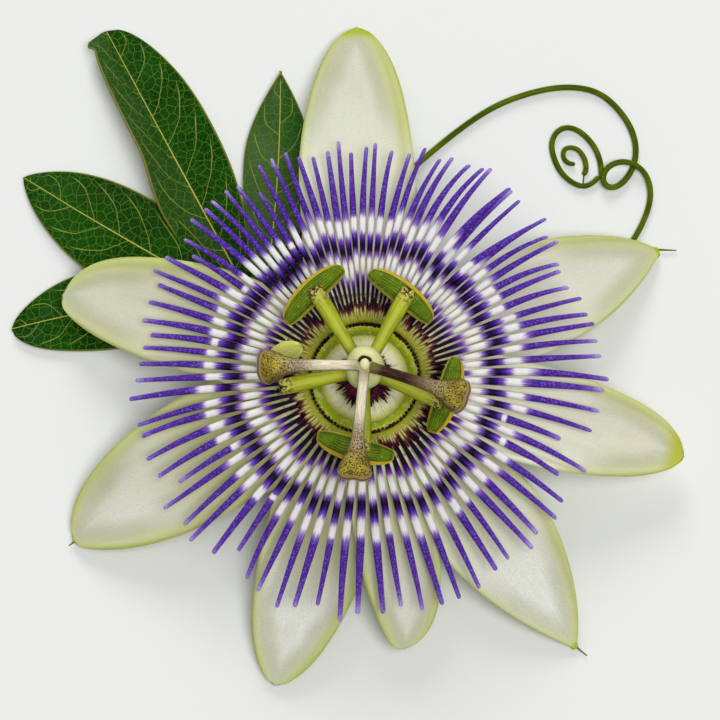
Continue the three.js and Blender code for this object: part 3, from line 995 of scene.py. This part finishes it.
def ovaryMaterial():
    startMaterial("ovarySkin", roughness=0.4, specular=0.12)
    cloud = noiseOf(380, 3)
    height, tone = attributesOf("along", "tone")
    skin = tint("#f6f3bc", "#d2d68c", cloud, 0.3, 0.7)
    # painted shade where the surface turns away from above
    skin = tint(skin, "#98a244", upwardness(), 0.75, 0.1, 0.75)
    skin = tint(skin, "#c9cc88", height, 0.8, 1.0)
    skin = mixColours(tone, skin, "#451418")
    return finishMaterial(skin, noiseOf(1500, 2), 0.04, 0.6)


def makeOvary():
    low, high = ovaryLow.z, ovaryHigh.z
    bm = bmesh.new()
    spinProfile(bm, 48, low, ovary["lower"], high, ovary["upper"])
    along, toneLayer = floatLayers(bm, "along", "tone")
    for vert in bm.verts:
        angle = bearingOf(vert)[0]
        share = (vert.co.z - low) / (high - low)
        vert[along] = share
        vert[toneLayer] = ease(high - 1.2, high - 0.5, vert.co.z) * ease(0.35, 0.9, vert.co.y)
        vert.co.xy *= 1 + 0.02 * math.cos(angle * 3 + 0.4) * math.sin(math.pi * min(share * 1.3, 1))
        body = 1 - ease(0.5, 0.7, share)
        vert.co.y *= 1 + 0.12 * body
        vert.co.y += 0.1 * body
    knob = bmesh.ops.create_uvsphere(bm, u_segments=20, v_segments=12, radius=1)["verts"]
    bmesh.ops.scale(bm, verts=knob, vec=ovary["knob"])
    bmesh.ops.translate(bm, verts=knob, vec=(0, 0.05, high + 0.15))
    for vert in knob:
        vert[along] = 0.75
    bow = [polar(ovary["bowRadius"], math.radians(25 + 130 * i / 16), high + 0.12) for i in range(17)]
    growTube(bm, bow, lambda t: 0.2 + 0.14 * math.sin(math.pi * t) + 0.04 * math.sin(12 * t), 10, tone=1.0)
    finishPiece(bm, "ovary_body", ovaryMaterial(), "ovary")


styles = {
    "start": 0.55, "shy": 1.25, "tones": {1: 0.25, 2: 0.95, 3: 0.1}, "notch": {1: 0.15, 2: 0.2, 3: 0.32},
    "flare": [(0.0, 0.8), (0.2, 0.72), (0.5, 0.8), (0.64, 0.95), (0.74, 1.35), (0.83, 1.95),
              (0.895, 2.32), (0.925, 2.42), (0.945, 2.5), (0.957, 2.42), (0.97, 2.5), (0.985, 2.3),
              (0.993, 1.8), (1.0, 0.6)],
}


def styleMaterial():
    startMaterial("styleSkin", roughness=0.45, specular=0.12)
    along, around, tone = attributesOf("along", "around", "tone")
    cloud = noiseOf(500, 3)
    streak = noiseOf(1.6, 3, 0.6, vectorOf(around * 14, along * 5, tone))
    stalk = tint("#f8f0d6", "#d2be94", streak, 0.36, 0.76)
    dusky = rangeOf(along, 0.78, 0.5) * rangeOf(tone + streak * 0.4, 0.88, 1.14)
    stalk = mixColours(dusky, stalk, "#371a0e")
    head = tint("#c0ae42", "#8a7a24", cloud, 0.35, 0.65)
    stalk = tint(stalk, "#8f8448", along, 0.17, 0.04, 0.6)
    throat = tint(stalk, "#9a8258", along, 0.36, 0.62, 0.75)
    skin = tint(throat, head, along, 0.62, 0.82)
    speck = noiseOf(4600, 2, 0.6)
    amount = rangeOf(speck, 0.5, 0.58) * rangeOf(along, 0.36, 0.7, 0.06, 0.95)
    skin = mixColours(amount, skin, "#3a2214")
    # painted shade down the stalk's sides and underside
    upper = topOfTube(around)
    skin = tint(skin, "#4f3322", upper, 0.72, 0.1, 0.8)
    rim = rangeOf(along, 0.915, 0.93)
    skin = mixColours(rim, skin, "#9c8458")
    groove = rangeOf(along, 0.95, 0.955) * rangeOf(along, 0.965, 0.96)
    skin = mixColours(groove, skin, "#4a3524")
    return finishMaterial(skin, speck, 0.09, 0.8)


styleSkin = styleMaterial()


# a stalk that bows over and flares into a capped head that faces out and down
def makeStyle(i):
    tip = tipOf(f"style_{i}")
    angle, reach = math.atan2(tip.y, tip.x), tip.xy.length - styles["shy"]
    top = ovaryHigh.z - 0.75
    route = [(styles["start"], 0, top), (reach * 0.3, 0, top + 0.12), (reach * 0.62, 0, top - 0.1),
             (reach * 0.84, 0, top - 0.95), (reach, 0, top - 2.5)]
    places = walkRoute(route, 84)

    def width(t):
        for (a, wa), (b, wb) in zip(styles["flare"], styles["flare"][1:]):
            if t <= b:
                return blendOf(wa, wb, ease(a, b, t))
        return styles["flare"][-1][1]

    def depth(t):
        return width(t) * blendOf(1, 0.86, ease(0.6, 0.8, t))

    bm = bmesh.new()
    growTube(bm, places, width, 36, depth, tone=styles["tones"][i])
    for vert in bm.verts:  # the head's outer rim is slightly two-lobed
        notch = styles["notch"][i] * bell(vert.co.y, 0, 0.8)
        vert.co.x -= notch * ease(reach - 1.5, reach + 0.8, vert.co.x)
    turnAll(bm, angle)
    finishPiece(bm, f"style_stalk_{i}", styleSkin, f"style_{i}")


makeOvary()
for number in range(1, 4):
    makeStyle(number)
print("ovary and styles made")


# all lobes spring from the base; turn is in degrees, level is the height near the base and bow is the bend
# sideways; fold turns one half of a lobe up, in degrees, and shine is how much painted sheen each half
# carries
leaf = {
    "base": (-15.1, 9.8, 0.55), "thickness": 0.28,
    "lobes": [
        dict(turn=182.3, length=36.9, halfWidth=6.1, level=0.35, bow=-2.7, point=0.62, shine=(0, 0)),
        dict(turn=149.1, length=41.3, halfWidth=6.9, level=1.9, bow=0.1, point=0.82, shine=(0.06, 0)),
        dict(turn=118.3, length=49.2, halfWidth=7.3, level=0.2, bow=0, point=0.52, fold=56, shine=(0, 0.42)),
        dict(turn=85.9, length=37.3, halfWidth=5.2, level=0.55, bow=-0.7, point=1.1, shine=(0.65, 0.9)),
        dict(turn=62, length=20, halfWidth=3.6, level=0.1, bow=0, point=0.8, shine=(0, 0)),
    ],
    "widest": 0.6, "veinGap": 5.2,
    "stalk": [(-9.9, -8.1, 1.4), (-11.5, -4.5, 1.1), (-13.5, 2.5, 0.9), (-15.3, 10.2, 0.8),
              (-16.5, 12.5, 0.8)],
}


def leafMaterial():
    startMaterial("leafSkin", roughness=0.42, specular=0.04)
    along, across, edge, tone, shine = attributesOf("along", "across", "edge", "tone", "shine")
    cloud = noiseOf(130, 3)
    mottle = noiseOf(1500, 3, 0.6)
    blade = tint("#0e4403", "#072e01", cloud, 0.35, 0.65)
    blade = tint(blade, "#185608", mottle, 0.4, 0.7, 0.5)
    # painted sheen: a paler grey-green patch on the lobe halves that catch the light
    bright = shine * rangeOf(cloud, 0.3, 0.65, 0.25, 0.62)
    blade = mixColours(bright, blade, "#5f7c48")
    drift = (noiseOf(110, 2) - 0.5) * 3.0
    size = abs(across)
    sweep = maths("MAXIMUM", edge - 0.42, 0) ** 2
    reach = along - size ** 1.15 * 0.75 - sweep * 14
    stagger = maths("SIGN", across) * 0.9
    phase = (reach + stagger + drift) / leaf["veinGap"]
    line = abs(maths("FRACT", phase) - 0.5)
    widen = rangeOf(edge, 0.4, 0.8, 1, 3.2)
    side = rangeOf(line / widen, 0.02, 0.008) * rangeOf(edge, 0.88, 0.72)
    flat = objectPlace((1, 1, 0))
    coarse = rangeOf(netOf(flat, 760, 0.9), 0.055, 0.015, 0, 0.7)
    netting = maths("MAXIMUM", coarse, rangeOf(netOf(flat, 1600), 0.07, 0.015, 0, 0.3))
    skin = mixColours(netting, blade, "#62902c")
    skin = mixColours(side * 0.8, skin, "#98a848")
    mid = rangeOf(size / (1.25 - tone), 0.15, 0.08)
    skin = mixColours(mid, skin, "#bdb852")
    skin = tint(skin, "#8e8c34", edge, 0.955, 0.99, 0.85)
    veins = maths("MAXIMUM", mid, maths("MAXIMUM", side, netting))
    under = mixColours(veins, "#7f9c5e", "#b7c48a")
    height = mottle * 0.3 - veins
    return finishMaterial(mixColours(facingUp(), under, skin), height, 0.1, 0.8)


def makeLeaf():
    bm = bmesh.new()
    along, across, edge, toneLayer, shine = floatLayers(bm, "along", "across", "edge", "tone", "shine")
    base = Vector(leaf["base"])
    for i, lobe in enumerate(leaf["lobes"]):
        rng = random.Random(40 + i)
        phase = rng.uniform(0, 6)
        mostFold = math.radians(lobe.get("fold", 0))
        made = bmesh.ops.create_grid(bm, x_segments=72, y_segments=28, size=0.5)["verts"]
        for vert in made:
            u, v = (vert.co.x + 0.5) ** 0.9, vert.co.y * 2
            if u < leaf["widest"]:
                half = 0.1 + 0.9 * math.sin(u / leaf["widest"] * math.pi / 2) ** 1.2
            else:
                past = (u - leaf["widest"]) / (1 - leaf["widest"])
                blunt = 0.25 if mostFold and v > 0 else lobe["point"]
                half = max(1 - past * past, 0.0003) ** blunt
            half *= lobe["halfWidth"] * (1 + 0.012 * math.sin(16 * u + phase + math.copysign(2, v)))
            fold = mostFold * ease(0.2, 0.62, u) * ease(0, 0.25, v) * (1 - 0.5 * ease(0.95, 0.985, u))
            side = v * half * math.cos(fold) + lobe["bow"] * math.sin(math.pi * u)
            height = lobe["level"] * (1 - ease(0.3, 0.8, u)) + 0.55 * abs(v) ** 1.3 * math.sin(math.pi * u)
            height += 0.3 * math.sin(8 * u + phase) * v * v + 0.7 * ease(0.75, 1, u)
            height += v * half * math.sin(fold) * 0.85
            vert[along], vert[across], vert[edge] = u * lobe["length"], v * half, abs(v)
            vert[toneLayer], vert[shine] = 0.75 * u, blendOf(*lobe["shine"], ease(-0.1, 0.1, v))
            vert.co = base + turned((u * lobe["length"], side, height), math.radians(lobe["turn"]))
    thicken(bm, leaf["thickness"])
    finishPiece(bm, "leaf_blade", leafMaterial(), "leaf")
    bm = bmesh.new()
    growTube(bm, walkRoute(leaf["stalk"], 40), lambda t: 0.85 - 0.15 * t, 16)
    finishPiece(bm, "leaf_stalk", stemSkin, "leaf")


def stemMaterial():
    startMaterial("stemSkin", roughness=0.55, specular=0.03)
    around, along = attributesOf("around", "along")
    cloud = noiseOf(260, 3)
    streak = noiseOf(1.0, 3, place=vectorOf(around * 12, along * 14, 0.0))
    skin = tint("#586e08", "#324c00", streak, 0.3, 0.7)
    skin = tint(skin, "#748212", cloud, 0.4, 0.7, 0.45)
    return finishMaterial(skin, streak, 0.08, 0.8)


stemSkin = stemMaterial()
vine = {
    "route": [(-17, -13.5, 1.65), (-5, -8, 1.75), (6, -2.4, 1.65), (18, 4.8, 1.7)],
    "halfWidth": 1.45, "ridges": 5, "joints": (0.22, 0.9),
    "flowerStalk": [(-5.6, -7.2, 1.9), (-5.9, -5.4, 2.1), (-5.3, -3.2, 2.4), (-2.4, -0.7, 2.7),
                    (-0.3, 0, 3.7), (0, 0, 5.3)],
}


def makeVine():
    bm = bmesh.new()

    def thickness(t):
        return vine["halfWidth"] * (1 + sum(0.22 * bell(t, joint, 0.035) for joint in vine["joints"]))

    middles = walkRoute(vine["route"], 90)
    growTube(bm, middles, thickness, 40)
    around, = floatLayers(bm, "around")
    lowest = nodeBox("vine_stem")[0].z
    for vert in bm.verts:
        nearest = min(middles, key=lambda p: (p - vert.co).length)
        ridge = 1 + 0.07 * math.cos(vert[around] * fullTurn * vine["ridges"])
        vert.co = nearest + (vert.co - nearest) * ridge
        vert.co.z = max(vert.co.z, lowest)
    finishPiece(bm, "vine_piece", stemSkin, "vine_stem")
    bm = bmesh.new()
    growTube(bm, walkRoute(vine["flowerStalk"], 50), lambda t: 0.85 + 0.25 * ease(0.7, 1, t), 24)
    finishPiece(bm, "flower_stalk_tube", stemSkin, "flower_stalk")


tendrils = {
    "tendril_long": dict(halfWidth=0.43, tip=0.4, steps=320, route=[
        (-1.8, -5.4, 1.6), (-1.4, -3.9, 1.4), (1.5, -2.2, 0.8), (4, 4, 0.5), (3, 14, 0.5), (2.5, 23, 0.5),
        (5, 30, 0.5), (12.1, 36.7, 0.5), (19, 41.6, 0.5), (25.2, 44, 0.5), (30.3, 44.8, 0.5), (34.9, 44, 0.5),
        (37.9, 41.3, 0.5), (39.8, 38.4, 0.5), (40.5, 35.2, 0.5), (39.8, 32.1, 0.5), (38.4, 30.1, 0.55),
        (36.3, 28.9, 0.8), (34.9, 30.3, 1.3), (35.5, 32.4, 1.45), (38, 33.6, 1.45), (40.6, 32.9, 1.35),
        (42.2, 31, 0.8), (42.6, 28.6, 0.5), (41.8, 25.5, 0.5), (39.9, 21.8, 0.5), (36.5, 17.9, 0.5),
        (29, 14, 0.5), (24, 11.4, 0.5)]),
    "tendril_curl": dict(halfWidth=0.4, tip=0.38, steps=150, route=[
        (35.1, 30.9, 0.9), (35.2, 32.2, 0.55), (34.9, 34, 0.5), (34.2, 35.7, 0.5), (33.1, 37.1, 0.5),
        (31.8, 38.2, 0.5), (30.2, 38.7, 0.5), (28.8, 38.2, 0.5), (28, 37, 0.5), (27.8, 35.5, 0.5),
        (28.4, 33.4, 0.5), (29.4, 31.6, 0.5), (30.9, 30.3, 0.5), (32.5, 29.7, 0.5), (33.8, 30.2, 0.5),
        (34.8, 31.2, 0.6)],
        link=[(32.5, 29.6, 0.15), (32.5, 30.8, 0.12), (32.8, 32.3, 0.3)],
        hook=[(32.5, 31.4, 0.5), (32.9, 32.4, 0.5), (32.7, 33.9, 0.5), (31.8, 35.2, 0.5), (30.6, 35.6, 0.5),
              (29.7, 35.2, 0.5), (29.6, 34.1, 0.5), (30.3, 33.3, 0.5), (31.3, 33.1, 0.5)]),
}


def makeTendril(name):
    shape = tendrils[name]
    bm = bmesh.new()

    def width(t):
        return blendOf(shape["halfWidth"], shape["tip"], ease(0.6, 1, t)) * roundedEnd(t, 0.994, 0.0062, 0.04)

    places = walkRoute(shape["route"], shape["steps"])
    for _ in range(30):  # the listed points leave faint corners, which this rounds off
        places[1:-1] = [(a + b * 2 + c) / 4 for a, b, c in zip(places, places[1:], places[2:])]
    growTube(bm, places, width, 16)
    if "hook" in shape:
        def hookWidth(t):
            return shape["tip"] * (1 - 0.12 * t) * roundedEnd(abs(t - 0.5), 0.455, 0.045, 0.04)

        growTube(bm, walkRoute(shape["hook"], 80), hookWidth, 16)
        growTube(bm, walkRoute(shape["link"], 12), lambda t: 0.1, 8)
    finishPiece(bm, name + "_tube", stemSkin, name)


makeLeaf()
makeVine()
for tendrilName in tendrils:
    makeTendril(tendrilName)
print("leaf, vine and tendrils made")


# the camera's distance, the width that it sees and its target are in millimetres; the floor's size and each
# lamp's place and size are in metres, and its power is in watts
stage = {
    "floor": "#f4f5f3", "floorSize": 4, "room": (1.0, 1.0, 0.99, 1), "roomLight": 0.24,
    "lamps": [("keyLight", (-0.3, 2.1, 1.25), 1.15, 23), ("topLight", (0.5, -0.3, 2.5), 1.5, 37.2)],
    "camera": dict(elevation=83, distance=450, width=103.7, sensor=36, target=(-0.65, 2.6, 10.5)),
}


def makeStage():
    bpy.ops.mesh.primitive_plane_add(size=stage["floorSize"], location=(0, 0, 0))
    floor = bpy.context.object
    floor.name = "floor"
    startMaterial("floorPaper", roughness=0.9, specular=0.2)
    floor.data.materials.append(finishMaterial(stage["floor"]))
    world = bpy.data.worlds.new("softRoom")
    scene.world = world
    world.use_nodes = True
    sky = world.node_tree.nodes["Background"]
    sky.inputs[0].default_value = stage["room"]
    sky.inputs[1].default_value = stage["roomLight"]
    for name, place, size, power in stage["lamps"]:
        data = bpy.data.lights.new(name, "AREA")
        data.shape = "DISK"
        data.size = size
        data.energy = power
        lamp = bpy.data.objects.new(name, data)
        lamp.location = place
        lamp.rotation_euler = (-Vector(place)).to_track_quat("-Z", "Y").to_euler()
        scene.collection.objects.link(lamp)


def makeCamera():
    view = stage["camera"]
    raised = math.radians(view["elevation"])
    target = (Vector(view["target"]) + axis) * mm
    toward = Vector((0, math.cos(raised), -math.sin(raised)))
    data = bpy.data.cameras.new("camera")
    data.sensor_width = view["sensor"]
    data.lens = view["sensor"] * view["distance"] / view["width"]
    data.clip_start, data.clip_end = 0.01, 10
    camera = bpy.data.objects.new("camera", data)
    camera.location = target - toward * view["distance"] * mm
    camera.rotation_euler = toward.to_track_quat("-Z", "Y").to_euler()
    scene.collection.objects.link(camera)
    scene.camera = camera


makeStage()
makeCamera()
scene.view_settings.view_transform = "Standard"
print("stage made")
